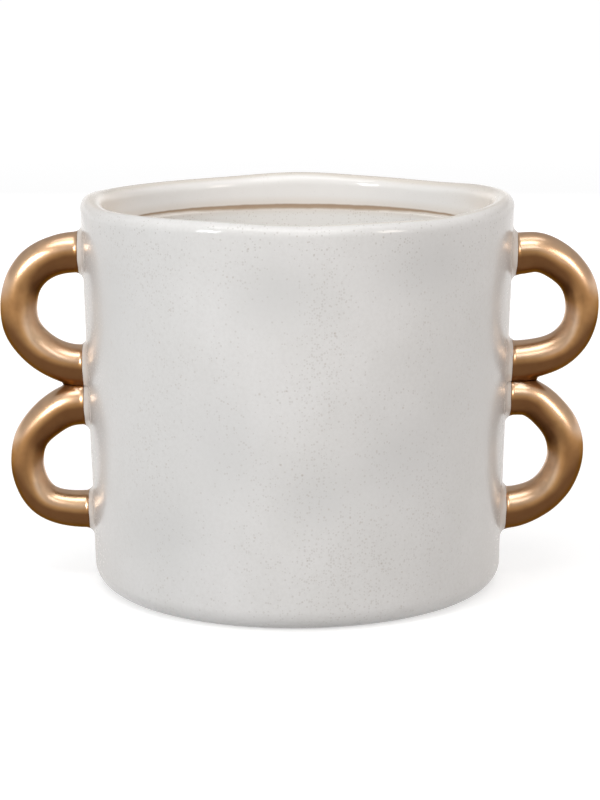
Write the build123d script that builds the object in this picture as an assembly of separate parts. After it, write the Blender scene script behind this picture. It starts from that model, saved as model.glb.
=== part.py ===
from build123d import *
from collections import namedtuple
import math
import os

# Cachepot, in millimetres: a white cast vessel on two sides of which two gold clay loops stand one
# above the other. The origin is on the vessel's axis at the surface it stands on, +Z is up, the
# loops lie in the XZ plane and -Y is the front.

# Vessel: the even shape that the hand-forming below then bends.
RIM_DIAMETER = 200.0
BASE_DIAMETER = 191.2
RIM_HEIGHT = 180.4
LIP_THICKNESS = 10.0
BASE_CORNER_RADIUS = 9.6
FLOOR_THICKNESS = 8.0
FLOOR_CORNER_RADIUS = 9.0
FOOT_RING_WIDTH = 6.0
FOOT_RECESS_DEPTH = 1.6

# The step inside, under the lip, where the wall thickens and the glaze pools.
LEDGE_DEPTH = 16.6
LEDGE_FILLET = 1.8
LEDGE_ROUND = 1.0

# Hand-forming: the wavy rim, the plan that is a little out of round, and the soft dents.
RIM_WAVE = 2.0
WAVE_REACH = 60.0
OUT_OF_ROUND = 0.4
DENT_DEPTH = 1.1
DENT_WIDTH = 22.0

# Handle loops: rolled clay, thicker at the roots than at the bow.
TUBE_DIAMETER = 18.0
ROOT_FLARE = 4.0
GOLD_GAP = 1.8
SEAM_OVERLAP = 1.8
COLLAR_BED = 4.0

# Left side: the top leg's drop below the rim, the bottom leg's height above the base, how far the seam
# between the two loops lies above the middle of those legs, and how far the bows stand off the wall.
LEFT_TOP_LEG_DROP = 25.6
LEFT_BOTTOM_LEG_HEIGHT = 32.2
LEFT_SEAM_RISE = -0.8
LEFT_UPPER_REACH = 30.9
LEFT_LOWER_REACH = 30.5

# Right side: the same sizes of the other, a little different pair.
RIGHT_TOP_LEG_DROP = 26.2
RIGHT_BOTTOM_LEG_HEIGHT = 33.0
RIGHT_SEAM_RISE = 1.2
RIGHT_UPPER_REACH = 33.7
RIGHT_LOWER_REACH = 29.2

# Height of the rim above its mean, as shares of the rim wave, at equal steps round from +X.
RIM_WAVE_SHARES = (
    0.9, 0.5, -0.5, -0.4, 0.15, -0.6, -0.65, -0.25,
    0.5, -0.3, 0.1, 0.4, -0.05, 0.15, 0.0, 0.6,
)

# Plan of the vessel: for each number of lobes, the cosine and sine shares of the out-of-round size.
LOBE_SHARES = {2: (0.1, 0.8), 3: (0.4, 0.25), 4: (-0.25, -0.25)}

# Dents: the angle round from +X in degrees, then shares of the rim height, of the dent width, of its
# height against its width and of the dent depth.
DENT_SHARES = (
    (265.0, 0.83, 1.0, 0.7, 0.9),
    (304.0, 0.88, 1.3, 0.5, 1.0),
    (251.0, 0.44, 0.9, 1.3, 0.8),
    (297.0, 0.41, 1.1, 1.0, 0.9),
    (275.0, 0.32, 0.8, 0.8, 0.8),
    (213.0, 0.78, 1.0, 1.1, 0.8),
    (232.0, 0.2, 1.1, 0.7, 0.6),
    (330.0, 0.6, 1.2, 1.0, 0.7),
    (150.0, 0.62, 1.2, 0.9, 0.8),
    (118.0, 0.35, 1.0, 1.1, 0.9),
    (84.0, 0.7, 1.3, 0.6, 1.0),
    (46.0, 0.48, 1.1, 0.9, 0.8),
    (22.0, 0.22, 1.0, 0.8, 0.6),
)

# Points of each loop's centre line between its two legs, as shares of the reach out from the wall
# and of the drop from the upper leg to the lower one.
LEFT_UPPER_SHARES = (
    (0.35, 0.02),
    (0.67, 0.1),
    (0.89, 0.24),
    (1.0, 0.46),
    (0.96, 0.67),
    (0.75, 0.84),
    (0.42, 0.96),
)
LEFT_LOWER_SHARES = (
    (0.34, 0.03),
    (0.69, 0.165),
    (0.92, 0.33),
    (1.0, 0.52),
    (0.95, 0.74),
    (0.74, 0.92),
    (0.4, 0.99),
)
RIGHT_UPPER_SHARES = (
    (0.32, -0.01),
    (0.64, 0.075),
    (0.89, 0.235),
    (1.0, 0.47),
    (0.94, 0.71),
    (0.73, 0.88),
    (0.37, 0.975),
)
RIGHT_LOWER_SHARES = (
    (0.32, 0.005),
    (0.69, 0.135),
    (0.92, 0.3),
    (1.0, 0.5),
    (0.92, 0.7),
    (0.67, 0.88),
    (0.36, 0.97),
)

# Thickness of each loop along its length, from the upper leg to the lower one, as shares of the tube
# diameter.
LEFT_UPPER_THICKNESS_SHARES = (1.07, 1.01, 0.96, 0.96, 1.0, 1.08)
LEFT_LOWER_THICKNESS_SHARES = (1.14, 1.01, 0.87, 0.86, 0.92, 0.99)
RIGHT_UPPER_THICKNESS_SHARES = (1.09, 0.98, 0.88, 0.87, 0.97, 1.07)
RIGHT_LOWER_THICKNESS_SHARES = (1.0, 0.97, 0.96, 0.94, 0.98, 1.12)

# How finely the shapes are sampled: counts and shares, not sizes.
RING_POINTS = 40
CORNER_STEPS = 4
LIP_STEPS = 6
WALL_STEPS = 11
INNER_WALL_STEPS = 9
LOOP_STEPS = 18
FLARE_STEPS = 3
COLLAR_POINTS = 24
BAND_LEVEL_SHARES = (0.5, 0.75)

rim_radius = RIM_DIAMETER / 2
base_radius = BASE_DIAMETER / 2
lip_radius = LIP_THICKNESS / 2
lip_centre_height = RIM_HEIGHT - lip_radius
ledge_height = RIM_HEIGHT - LEDGE_DEPTH
ledge_step = LEDGE_FILLET + LEDGE_ROUND
wall_thickness = LIP_THICKNESS + ledge_step
wall_lean = (rim_radius - base_radius) / (lip_centre_height - BASE_CORNER_RADIUS)
foot_inner_radius = base_radius - BASE_CORNER_RADIUS - FOOT_RING_WIDTH


# A leg of a loop: its side (-1 left, 1 right), its diameter, and the plane in which its gold ends, with
# the leg's centre as origin, Y up the wall and Z away from it.
Leg = namedtuple("Leg", "side diameter gold_end")


def smooth(share):
    """Goes from 0 to 1 with level ends."""
    share = min(max(share, 0.0), 1.0)
    return share * share * (3 - 2 * share)


def between(low, high, share):
    """Value or place a share of the way from one to another."""
    return low + (high - low) * share


def eased(before, here, after, beyond, part):
    """Smooth curve from one value to the next of an evenly spaced row, led by their neighbours."""
    slope_here = (after - before) / 2
    slope_after = (beyond - here) / 2
    bend = 3 * (after - here) - 2 * slope_here - slope_after
    twist = 2 * (here - after) + slope_here + slope_after
    return here + slope_here * part + bend * part**2 + twist * part**3


def round_table(angle, shares):
    """Smooth closed curve through values at equal steps round the vessel."""
    place = angle / (2 * math.pi) * len(shares)
    first = math.floor(place)
    values = (shares[(first + step) % len(shares)] for step in (-1, 0, 1, 2))
    return eased(*values, place - first)


def along(shares, share):
    """Smooth curve through values at equal steps from one end (0) to the other (1)."""
    last = len(shares) - 1
    place = share * last
    first = min(math.floor(place), last - 1)
    values = (shares[min(max(first + step, 0), last)] for step in (-1, 0, 1, 2))
    return eased(*values, place - first)


def lobes(angle):
    """How far the plan stands outside a circle at an angle."""
    total = sum(
        cosine * math.cos(count * angle) + sine * math.sin(count * angle)
        for count, (cosine, sine) in LOBE_SHARES.items()
    )
    return OUT_OF_ROUND * total


def dent(angle, height):
    """How far the wall is pressed in at a place."""
    depth = 0.0
    for degrees, height_share, width_share, tall_share, depth_share in DENT_SHARES:
        width = DENT_WIDTH * width_share
        turn = math.remainder(angle - math.radians(degrees), 2 * math.pi)
        across = turn * rim_radius / width
        along = (height - RIM_HEIGHT * height_share) / (width * tall_share)
        depth += DENT_DEPTH * depth_share * math.exp(-(across**2) - along**2)
    return depth


def even_radius(height):
    """Outer radius of the even, tapering wall at a height above the base corner."""
    share = (height - BASE_CORNER_RADIUS) / (lip_centre_height - BASE_CORNER_RADIUS)
    return between(base_radius, rim_radius, share)


def wall_radius(angle, height):
    """Outer radius of the finished wall."""
    return even_radius(height) + lobes(angle) - dent(angle, height)


def wall_distance(side, offset, height):
    """Distance of the wall's outside from the YZ plane, at a place beside the middle of a side."""
    angle = 0.0 if side > 0 else math.pi
    turn = math.asin(offset / wall_radius(angle, height))
    return wall_radius(angle + side * turn, height) * math.cos(turn)


def closed_curve(points):
    """Smooth closed curve through points that lie at equal steps of its parameter."""
    parameters = [step / len(points) for step in range(len(points) + 1)]
    return Wire([Edge.make_spline(points, periodic=True, parameters=parameters)])


def ring(radius, height, wave_share):
    """One level of the vessel's skin: a closed curve through points round it."""
    points = []
    for step in range(RING_POINTS):
        angle = math.pi / 2 + 2 * math.pi * step / RING_POINTS
        reach = radius + lobes(angle) - dent(angle, height)
        rise = RIM_WAVE * wave_share * round_table(angle, RIM_WAVE_SHARES)
        points.append((reach * math.cos(angle), reach * math.sin(angle), height + rise))
    return closed_curve(points)


def flat_ring(radius, height):
    """A level whose points all lie in one plane, for the underside and the inner floor."""
    points = []
    for step in range(RING_POINTS):
        angle = math.pi / 2 + 2 * math.pi * step / RING_POINTS
        reach = radius + lobes(angle)
        points.append((reach * math.cos(angle), reach * math.sin(angle), height))
    return closed_curve(points)


def arc_stations(centre_radius, centre_height, radius, start, stop, steps):
    """Places along a round stretch of the wall's section, from one angle to another in degrees."""
    for step in range(steps + 1):
        angle = math.radians(between(start, stop, step / steps))
        yield centre_radius + radius * math.cos(angle), centre_height + radius * math.sin(angle)


def outer_wave(height):
    """Share of the rim's wave that the outside follows."""
    return smooth((height - RIM_HEIGHT + WAVE_REACH) / WAVE_REACH)


def inner_wave(height):
    """Share of the rim's wave that the band above the ledge follows; the ledge itself is level."""
    return smooth((height - ledge_height) / (lip_centre_height - ledge_height))


def vessel_skin():
    """The levels of the skin in order: up the outside, over the lip and down inside to the floor."""
    rings = [flat_ring(base_radius - BASE_CORNER_RADIUS, 0.0)]
    corner = arc_stations(
        base_radius - BASE_CORNER_RADIUS, BASE_CORNER_RADIUS, BASE_CORNER_RADIUS, -90, 0, CORNER_STEPS
    )
    rings += [ring(radius, height, 0.0) for radius, height in list(corner)[1:]]
    for step in range(1, WALL_STEPS):
        height = between(BASE_CORNER_RADIUS, lip_centre_height, step / WALL_STEPS)
        rings.append(ring(even_radius(height), height, outer_wave(height)))
    lip = arc_stations(rim_radius - lip_radius, lip_centre_height, lip_radius, 0, 180, LIP_STEPS)
    rings += [ring(radius, height, 1.0) for radius, height in lip]

    band_radius = rim_radius - LIP_THICKNESS
    fillet_centre_height = ledge_height + LEDGE_FILLET
    for share in BAND_LEVEL_SHARES:
        height = between(lip_centre_height, fillet_centre_height, share)
        rings.append(ring(band_radius, height, inner_wave(height)))
    edge_radius = band_radius - LEDGE_FILLET
    fillet = arc_stations(edge_radius, fillet_centre_height, LEDGE_FILLET, 0, -90, FLARE_STEPS)
    rings += [ring(radius, height, inner_wave(height)) for radius, height in list(fillet)[:-1]]
    edge = arc_stations(edge_radius, ledge_height - LEDGE_ROUND, LEDGE_ROUND, 90, 180, FLARE_STEPS)
    rings += [ring(radius, height, 0.0) for radius, height in edge]

    top_radius, top_height = band_radius - ledge_step, ledge_height - LEDGE_ROUND
    low_radius, low_height = base_radius - wall_thickness, FLOOR_THICKNESS + FLOOR_CORNER_RADIUS
    for step in range(1, INNER_WALL_STEPS):
        radius = between(top_radius, low_radius, step / INNER_WALL_STEPS)
        height = between(top_height, low_height, step / INNER_WALL_STEPS)
        rings.append(ring(radius, height, 0.0))
    bottom = arc_stations(
        low_radius - FLOOR_CORNER_RADIUS, low_height, FLOOR_CORNER_RADIUS, 0, -90, CORNER_STEPS
    )
    rings += [ring(radius, height, 0.0) for radius, height in list(bottom)[:-1]]
    rings.append(flat_ring(low_radius - FLOOR_CORNER_RADIUS, FLOOR_THICKNESS))
    return rings


def make_pot_body():
    """The cast vessel, with the shallow recess that leaves a foot ring to stand on."""
    vessel = Solid.make_loft(vessel_skin())
    recess = Cylinder(foot_inner_radius, FOOT_RECESS_DEPTH, align=(Align.CENTER, Align.CENTER, Align.MIN))
    return vessel - recess


def flare(radius, from_wall):
    """Radius of a leg near the wall, where it widens in a hollow curve to meet the wall."""
    left = max(ROOT_FLARE - from_wall, 0.0)
    return radius + ROOT_FLARE - math.sqrt(ROOT_FLARE**2 - left**2)


def wall_plane(side, height, clearance):
    """Plane off the wall at a height of a side, which leans as the wall does: Y goes up the wall."""
    out = Vector(side, 0.0, -wall_lean).normalized()
    foot = Vector(side * wall_distance(side, 0.0, height), 0.0, height)
    return Plane(origin=foot + out * clearance, x_dir=(0.0, side, 0.0), z_dir=out)


def slid_up(plane, distance):
    """The same plane with its origin moved up the wall."""
    return Plane(origin=plane.origin + plane.y_dir * distance, x_dir=plane.x_dir, z_dir=plane.z_dir)


def loop_centre_line(upper, lower, reach, shares):
    """The loop's centre line: square to the wall at both legs, which start where the gold ends."""
    start, stop = upper.gold_end, lower.gold_end
    points = [start.origin]
    for out_share, drop_share in shares:
        foot = between(start.origin, stop.origin, drop_share)
        points.append(foot + Vector(upper.side, 0.0, 0.0) * (reach * out_share - GOLD_GAP))
    points.append(stop.origin)
    return Edge.make_spline(points, tangents=[start.z_dir, -stop.z_dir], scale=False)


def loop_section(line, share, thickness_shares):
    """A round section square to the centre line."""
    from_wall = line.length * min(share, 1.0 - share) + GOLD_GAP
    radius = flare(TUBE_DIAMETER * along(thickness_shares, share) / 2, from_wall)
    return Wire.make_circle(radius, Plane(origin=line @ share, x_dir=(0.0, 1.0, 0.0), z_dir=line % share))


def make_loop(upper, lower, reach, shares, thickness_shares):
    """One rolled loop, from flat end to flat end, with its sections closest at the flared legs."""
    line = loop_centre_line(upper, lower, reach, shares)
    places = [(1 - math.cos(math.pi * step / LOOP_STEPS)) / 2 for step in range(LOOP_STEPS + 1)]
    return Solid.make_loft([loop_section(line, place, thickness_shares) for place in places])


def collar_ring(leg, share):
    """One level of a collar, from the flat edge of the gold (0) to the curved wall (1)."""
    radius = flare(leg.diameter / 2, GOLD_GAP * (1.0 - share))
    points = []
    for step in range(COLLAR_POINTS):
        angle = 2 * math.pi * step / COLLAR_POINTS
        edge = leg.gold_end.from_local_coords((radius * math.sin(angle), radius * math.cos(angle), 0.0))
        foot = Vector(leg.side * wall_distance(leg.side, edge.Y, edge.Z), edge.Y, edge.Z)
        points.append(between(edge, foot, share))
    return closed_curve(points)


def make_collar(leg):
    """White collar that widens from the end of a leg to the wall, bedded in the wall."""
    rings = [collar_ring(leg, step / FLARE_STEPS) for step in range(FLARE_STEPS + 1)]
    bed = leg.gold_end.offset(-GOLD_GAP - COLLAR_BED)
    rings.append(Wire.make_circle(leg.diameter / 2 + ROOT_FLARE, bed))
    return Solid.make_loft(rings)


def make_side(side, top_height, seam_rise, bottom_height, upper_loop, lower_loop):
    """The two loops of one side, cut flat where they are luted together, and their three collars."""
    seam_height = (top_height + bottom_height) / 2 + seam_rise
    upper_reach, upper_shares, upper_thickness_shares = upper_loop
    lower_reach, lower_shares, lower_thickness_shares = lower_loop
    above = TUBE_DIAMETER * upper_thickness_shares[-1]
    below = TUBE_DIAMETER * lower_thickness_shares[0]
    middle = wall_plane(side, seam_height, GOLD_GAP)
    top_size = TUBE_DIAMETER * upper_thickness_shares[0]
    bottom_size = TUBE_DIAMETER * lower_thickness_shares[-1]
    top = Leg(side, top_size, wall_plane(side, top_height, GOLD_GAP))
    above_seam = Leg(side, above, slid_up(middle, (above - SEAM_OVERLAP) / 2))
    below_seam = Leg(side, below, slid_up(middle, (SEAM_OVERLAP - below) / 2))
    bottom = Leg(side, bottom_size, wall_plane(side, bottom_height, GOLD_GAP))

    seam = Plane(origin=middle.origin, x_dir=middle.x_dir, z_dir=middle.y_dir)
    upper = make_loop(top, above_seam, upper_reach, upper_shares, upper_thickness_shares)
    lower = make_loop(below_seam, bottom, lower_reach, lower_shares, lower_thickness_shares)
    return {
        "upper_loop": upper.split(seam, keep=Keep.TOP),
        "lower_loop": lower.split(seam, keep=Keep.BOTTOM),
        "top_collar": make_collar(top),
        "middle_collar": make_collar(above_seam) + make_collar(below_seam),
        "bottom_collar": make_collar(bottom),
    }


def make_parts():
    """Every piece by name, with the collars cut to the curve of the wall they sit on."""
    pot_body = make_pot_body()
    left = make_side(
        -1,
        RIM_HEIGHT - LEFT_TOP_LEG_DROP,
        LEFT_SEAM_RISE,
        LEFT_BOTTOM_LEG_HEIGHT,
        (LEFT_UPPER_REACH, LEFT_UPPER_SHARES, LEFT_UPPER_THICKNESS_SHARES),
        (LEFT_LOWER_REACH, LEFT_LOWER_SHARES, LEFT_LOWER_THICKNESS_SHARES),
    )
    right = make_side(
        1,
        RIM_HEIGHT - RIGHT_TOP_LEG_DROP,
        RIGHT_SEAM_RISE,
        RIGHT_BOTTOM_LEG_HEIGHT,
        (RIGHT_UPPER_REACH, RIGHT_UPPER_SHARES, RIGHT_UPPER_THICKNESS_SHARES),
        (RIGHT_LOWER_REACH, RIGHT_LOWER_SHARES, RIGHT_LOWER_THICKNESS_SHARES),
    )
    parts = {"pot_body": pot_body}
    for side_name, pieces in (("left", left), ("right", right)):
        for name, piece in pieces.items():
            parts[f"{side_name}_{name}"] = piece - pot_body if name.endswith("collar") else piece
    return parts


if __name__ == "__main__":
    os.makedirs("parts", exist_ok=True)
    for name, shape in make_parts().items():
        export_step(shape, f"parts/{name}.step")
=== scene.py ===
"""Looks of the cachepot: glazed vessel, gold lustre loops and white collars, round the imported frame.

Everything is in metres, in the part's own frame: the origin on the vessel's axis at the surface it
stands on, +Z up, the loops in the XZ plane, -Y the front.
"""

import math
from collections import namedtuple

import bpy
import numpy as np
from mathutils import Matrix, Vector, noise


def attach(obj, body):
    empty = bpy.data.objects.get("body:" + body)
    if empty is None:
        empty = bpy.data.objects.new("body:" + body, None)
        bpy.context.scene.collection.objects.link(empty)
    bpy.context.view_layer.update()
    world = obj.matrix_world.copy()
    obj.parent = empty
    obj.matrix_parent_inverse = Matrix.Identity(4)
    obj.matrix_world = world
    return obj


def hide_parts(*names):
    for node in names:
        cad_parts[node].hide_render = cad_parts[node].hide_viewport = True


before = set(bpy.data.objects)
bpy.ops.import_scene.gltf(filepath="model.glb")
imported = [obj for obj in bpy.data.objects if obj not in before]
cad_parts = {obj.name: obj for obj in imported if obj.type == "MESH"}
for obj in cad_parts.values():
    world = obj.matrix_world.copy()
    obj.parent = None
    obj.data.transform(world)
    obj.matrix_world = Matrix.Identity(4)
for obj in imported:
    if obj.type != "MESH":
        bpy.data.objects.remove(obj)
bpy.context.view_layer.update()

MM = 0.001

# Vessel, as in the part's source.
RIM_DIAMETER = 200.0 * MM
BASE_DIAMETER = 191.2 * MM
RIM_HEIGHT = 180.4 * MM
LIP_THICKNESS = 10.0 * MM
BASE_CORNER_RADIUS = 9.6 * MM
FLOOR_THICKNESS = 8.0 * MM
FLOOR_CORNER_RADIUS = 9.0 * MM
FOOT_RING_WIDTH = 6.0 * MM
FOOT_RECESS_DEPTH = 1.6 * MM
FOOT_EDGE_RADIUS = 0.6 * MM
LEDGE_DEPTH = 16.6 * MM
LEDGE_FILLET = 1.8 * MM
LEDGE_ROUND = 1.0 * MM
RIM_WAVE = 2.0 * MM
WAVE_REACH = 60.0 * MM
OUT_OF_ROUND = 0.4 * MM
DENT_DEPTH = 1.1 * MM
DENT_WIDTH = 22.0 * MM

# Hand-forming finer than the part's source has: the size and depth of the soft unevenness.
RIPPLE_SIZE = 26.0 * MM
RIPPLE_DEPTH = 0.22 * MM
FINE_RIPPLE_SIZE = 7.0 * MM
FINE_RIPPLE_DEPTH = 0.02 * MM

# Loops and collars, as in the part's source.
TUBE_DIAMETER = 18.0 * MM
ROOT_FLARE = 4.0 * MM
GOLD_GAP = 1.8 * MM
SEAM_OVERLAP = 1.8 * MM
LEFT_TOP_LEG_DROP = 25.6 * MM
LEFT_BOTTOM_LEG_HEIGHT = 32.2 * MM
LEFT_SEAM_RISE = -0.8 * MM
LEFT_UPPER_REACH = 30.9 * MM
LEFT_LOWER_REACH = 30.5 * MM
RIGHT_TOP_LEG_DROP = 26.2 * MM
RIGHT_BOTTOM_LEG_HEIGHT = 33.0 * MM
RIGHT_SEAM_RISE = 1.2 * MM
RIGHT_UPPER_REACH = 33.7 * MM
RIGHT_LOWER_REACH = 29.2 * MM

# Finer detail of the loops: the clay that fills the crease between two loops, how far and how often the
# gold's edge wavers, how far a collar dips under the wall's face and how deep it is bedded, and the
# unevenness of the rolled tube.
SEAM_WEB = 3.2 * MM
EDGE_WAVER = 0.22 * MM
EDGE_WAVER_PACE = 2.0
COLLAR_DIP = 0.35 * MM
COLLAR_BED = 4.0 * MM
TUBE_RIPPLE_SIZE = 11.0 * MM
TUBE_RIPPLE_DEPTH = 0.16 * MM

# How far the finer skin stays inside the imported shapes.
INSET = 0.03 * MM

# Shares of the sizes above, as in the part's source: the rim's wave at equal steps round from +X, the
# lobes of the plan, the dents (angle, height, width, tallness, depth), and each loop's centre line and
# thickness from its upper leg to its lower one.
RIM_WAVE_SHARES = (
    0.9, 0.5, -0.5, -0.4, 0.15, -0.6, -0.65, -0.25,
    0.5, -0.3, 0.1, 0.4, -0.05, 0.15, 0.0, 0.6,
)
LOBE_SHARES = {2: (0.1, 0.8), 3: (0.4, 0.25), 4: (-0.25, -0.25)}
DENT_SHARES = (
    (265.0, 0.83, 1.0, 0.7, 0.9),
    (304.0, 0.88, 1.3, 0.5, 1.0),
    (251.0, 0.44, 0.9, 1.3, 0.8),
    (297.0, 0.41, 1.1, 1.0, 0.9),
    (275.0, 0.32, 0.8, 0.8, 0.8),
    (213.0, 0.78, 1.0, 1.1, 0.8),
    (232.0, 0.2, 1.1, 0.7, 0.6),
    (330.0, 0.6, 1.2, 1.0, 0.7),
    (150.0, 0.62, 1.2, 0.9, 0.8),
    (118.0, 0.35, 1.0, 1.1, 0.9),
    (84.0, 0.7, 1.3, 0.6, 1.0),
    (46.0, 0.48, 1.1, 0.9, 0.8),
    (22.0, 0.22, 1.0, 0.8, 0.6),
)
LEFT_UPPER_SHARES = (
    (0.35, 0.02), (0.67, 0.1), (0.89, 0.24), (1.0, 0.46),
    (0.96, 0.67), (0.75, 0.84), (0.42, 0.96),
)
LEFT_LOWER_SHARES = (
    (0.34, 0.03), (0.69, 0.165), (0.92, 0.33), (1.0, 0.52),
    (0.95, 0.74), (0.74, 0.92), (0.4, 0.99),
)
RIGHT_UPPER_SHARES = (
    (0.32, -0.01), (0.64, 0.075), (0.89, 0.235), (1.0, 0.47),
    (0.94, 0.71), (0.73, 0.88), (0.37, 0.975),
)
RIGHT_LOWER_SHARES = (
    (0.32, 0.005), (0.69, 0.135), (0.92, 0.3), (1.0, 0.5),
    (0.92, 0.7), (0.67, 0.88), (0.36, 0.97),
)
LEFT_UPPER_THICKNESS_SHARES = (1.07, 1.01, 0.96, 0.96, 1.0, 1.08)
LEFT_LOWER_THICKNESS_SHARES = (1.14, 1.01, 0.87, 0.86, 0.92, 0.99)
RIGHT_UPPER_THICKNESS_SHARES = (1.09, 0.98, 0.88, 0.87, 0.97, 1.07)
RIGHT_LOWER_THICKNESS_SHARES = (1.0, 0.97, 0.96, 0.94, 0.98, 1.12)

# Glaze marks. A speckle patch is its angle in degrees, its height as a share of the rim's, its width and
# height as shares of the patch size, and its strength.
PATCH_SIZE = 30.0 * MM
SPECKLE_PATCH_SHARES = (
    (277.0, 0.72, 0.35, 1.4, 0.9),
    (274.0, 0.4, 0.45, 1.6, 0.6),
    (222.0, 0.87, 1.3, 0.5, 0.8),
    (205.0, 0.6, 0.5, 1.5, 0.7),
    (286.0, 0.16, 1.1, 0.9, 0.8),
    (306.0, 0.3, 0.5, 1.2, 0.5),
    (330.0, 0.75, 0.6, 1.5, 0.6),
    (20.0, 0.5, 0.8, 1.8, 0.7),
    (64.0, 0.75, 1.2, 0.7, 0.8),
    (95.0, 0.35, 0.6, 1.6, 0.7),
    (135.0, 0.6, 0.5, 1.8, 0.8),
    (168.0, 0.3, 1.0, 1.0, 0.6),
)

# How far the painted shade, warmed as a painted reflection of the gold, and the glossier glaze reach out
# from the loops' roots, how far round the flanks reach, where shade is painted on the wall and warm light
# on the lip, and how far the painted shade on the gold reaches from the crease between two loops.
ROOT_SHADE_REACH = 9.0 * MM
ROOT_GLOSS_REACH = 4.0 * MM
FLANK_WIDTH = math.radians(24)
SEAM_SHADE = 1.4 * MM

# Zones of the glaze over the lip, as shares of the lip's thickness in from the outer wall: where the inside
# starts, where the white band starts, where the painted warm light on the crest comes up, and where the
# painted shade on the crown comes up and fades out.
INSIDE_FROM = 0.6
BAND_FROM = 0.7
CREST_ZONE = (0.05, 0.5)
CROWN_START = (0.3, 0.5)
CROWN_STOP = (0.75, 0.95)

# The brown line inside, thinner to the sides, with beige glaze above and below it. The glaze's edges
# wander by a little.
LINE_BOTTOM = 163.6 * MM
LINE_TOP = 165.3 * MM
LINE_THIN_FROM = 25.0 * MM
LINE_THIN_TO = 75.0 * MM
LINE_THINNING = 1.0 * MM
LINE_WANDER = 0.5 * MM
LINE_LOW_BLUR = 0.7 * MM
LINE_HIGH_BLUR = 0.8 * MM
LINING_BLUR = 0.3 * MM
BEIGE_ABOVE = 5.0 * MM
BEIGE_BELOW = 4.0 * MM

# Bare clay on the foot: the heights between which the glaze takes over, and how far that edge wanders.
CLAY_EDGE = (0.5 * MM, 1.2 * MM)
CLAY_WANDER = 0.6 * MM

# Noise fields of the glaze and the lustre: feature size, detail and roughness. The ranges are the parts
# of a field that its mark goes from none to full in.
NOISES = {
    "wander": (6.0 * MM, 2.0, 0.5),
    "mottle": (45.0 * MM, 3.0, 0.5),
    "runs": (9.0 * MM, 2.0, 0.5),
    "grain": (1.6 * MM, 3.0, 0.7),
    "clouds": (22.0 * MM, 2.0, 0.5),
    "gloss": (12.0 * MM, 2.0, 0.5),
    "peel": (3.2 * MM, 2.0, 0.5),
    "drift": (16.0 * MM, 2.0, 0.5),
    "lustre": (5.0 * MM, 1.0, 0.5),
    "flecks": (0.7 * MM, 2.0, 0.6),
}
EVEN_RANGE = (0.3, 0.7)
RUNS_RANGE = (0.35, 0.7)
GRAIN_RANGE = (0.35, 0.75)
CLOUDS_RANGE = (0.42, 0.68)
LUSTRE_RANGE = (0.4, 0.75)
SATIN_RANGE = (0.4, 0.9)

# How far the runs and the speckle clouds are squeezed in height, so that they stand upright.
RUNS_SQUEEZE = 0.12
CLOUDS_SQUEEZE = 0.45

# Dots in the glaze: the size of the cells they sit in and the largest dot's radius in cells, then the
# share of cells with a dot, as what gathering adds and what there is without it.
FINE_DOTS = (1.05 * MM, 0.45)
COARSE_DOTS = (2.3 * MM, 0.22)
LINING_DOTS = (1.1 * MM, 0.4)
FINE_CROWD = (0.6, 0.03)
COARSE_CROWD = (0.4, 0.015)
LINING_CROWD = 0.35
SMALLEST_DOT = 0.6
DOT_BLUR = 0.3

# How strongly each mark shows.
RUNS_STRENGTH = 0.25
GRAIN_STRENGTH = 0.1
DENT_SHADE_STRENGTH = 0.75
ROOT_SHADE_STRENGTH = 0.5
FLANK_SHADE_STRENGTH = 0.45
CLOUDS_STRENGTH = 0.4
CREST_LIGHT_STRENGTH = 0.6
BAND_STRENGTH = 0.85
CROWN_SHADE_STRENGTH = 0.9
BEIGE_STRENGTH = 0.35
LINING_STRENGTH = 0.2
FINE_STRENGTH = 0.35
COARSE_STRENGTH = 0.3
LINE_STRENGTH = 0.92

# Gloss of the glaze: its roughness, what the marks add to it, and its relief as strength and depth, with
# how much of that depth the dots sink and the bare grain rises.
GLAZE_IOR = 1.45
GLAZE_ROUGHNESS = (0.16, 0.2)
FLANK_ROUGHNESS = 0.1
LIP_ROUGHNESS = -0.1
DOT_ROUGHNESS = 0.12
MATT_ROUGHNESS = 0.5
GLAZE_RELIEF = (0.6, 0.04 * MM)
DOT_HEIGHT = -0.4
GRAIN_HEIGHT = 2.0

# Colours, as linear light.
GLAZE_LIGHT = (0.755, 0.75, 0.745, 1.0)
GLAZE_SHADE = (0.71, 0.705, 0.695, 1.0)
BAND_WHITE = (0.87, 0.86, 0.845, 1.0)
# Painted warm light on the lip's sides, over the crest and the white band.
LIP_WARM_LIGHT = (0.95, 0.865, 0.78, 1.0)
# Painted shade in the dents.
DENT_SHADE_COLOUR = (0.64, 0.64, 0.635, 1.0)
# Painted shade on the lip's crown.
LIP_SHADE = (0.71, 0.655, 0.59, 1.0)
# Painted warm shade round the loops' roots and on the flanks; round the roots it also stands for the gold's
# reflection.
WARM_SHADE = (0.67, 0.59, 0.52, 1.0)
SPECKLE_GREY = (0.40, 0.37, 0.34, 1.0)
SPECKLE_BROWN = (0.30, 0.23, 0.17, 1.0)
LINING = (0.78, 0.77, 0.75, 1.0)
LINE_BROWN = (0.29, 0.195, 0.115, 1.0)
LINE_BEIGE = (0.62, 0.52, 0.42, 1.0)
CLAY = (0.60, 0.52, 0.42, 1.0)
CLAY_SHADE = (0.50, 0.42, 0.33, 1.0)
GOLD_YELLOW = (0.84, 0.48, 0.20, 1.0)
GOLD_RED = (0.80, 0.43, 0.17, 1.0)
# Deep brown of the lustre's mottling and painted edge, also used as painted shade on its undersides and in
# the crease.
GOLD_DEEP_AND_SHADE = (0.085, 0.034, 0.013, 1.0)
GOLD_EDGE = (0.65, 0.5, 0.36, 1.0)

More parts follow.
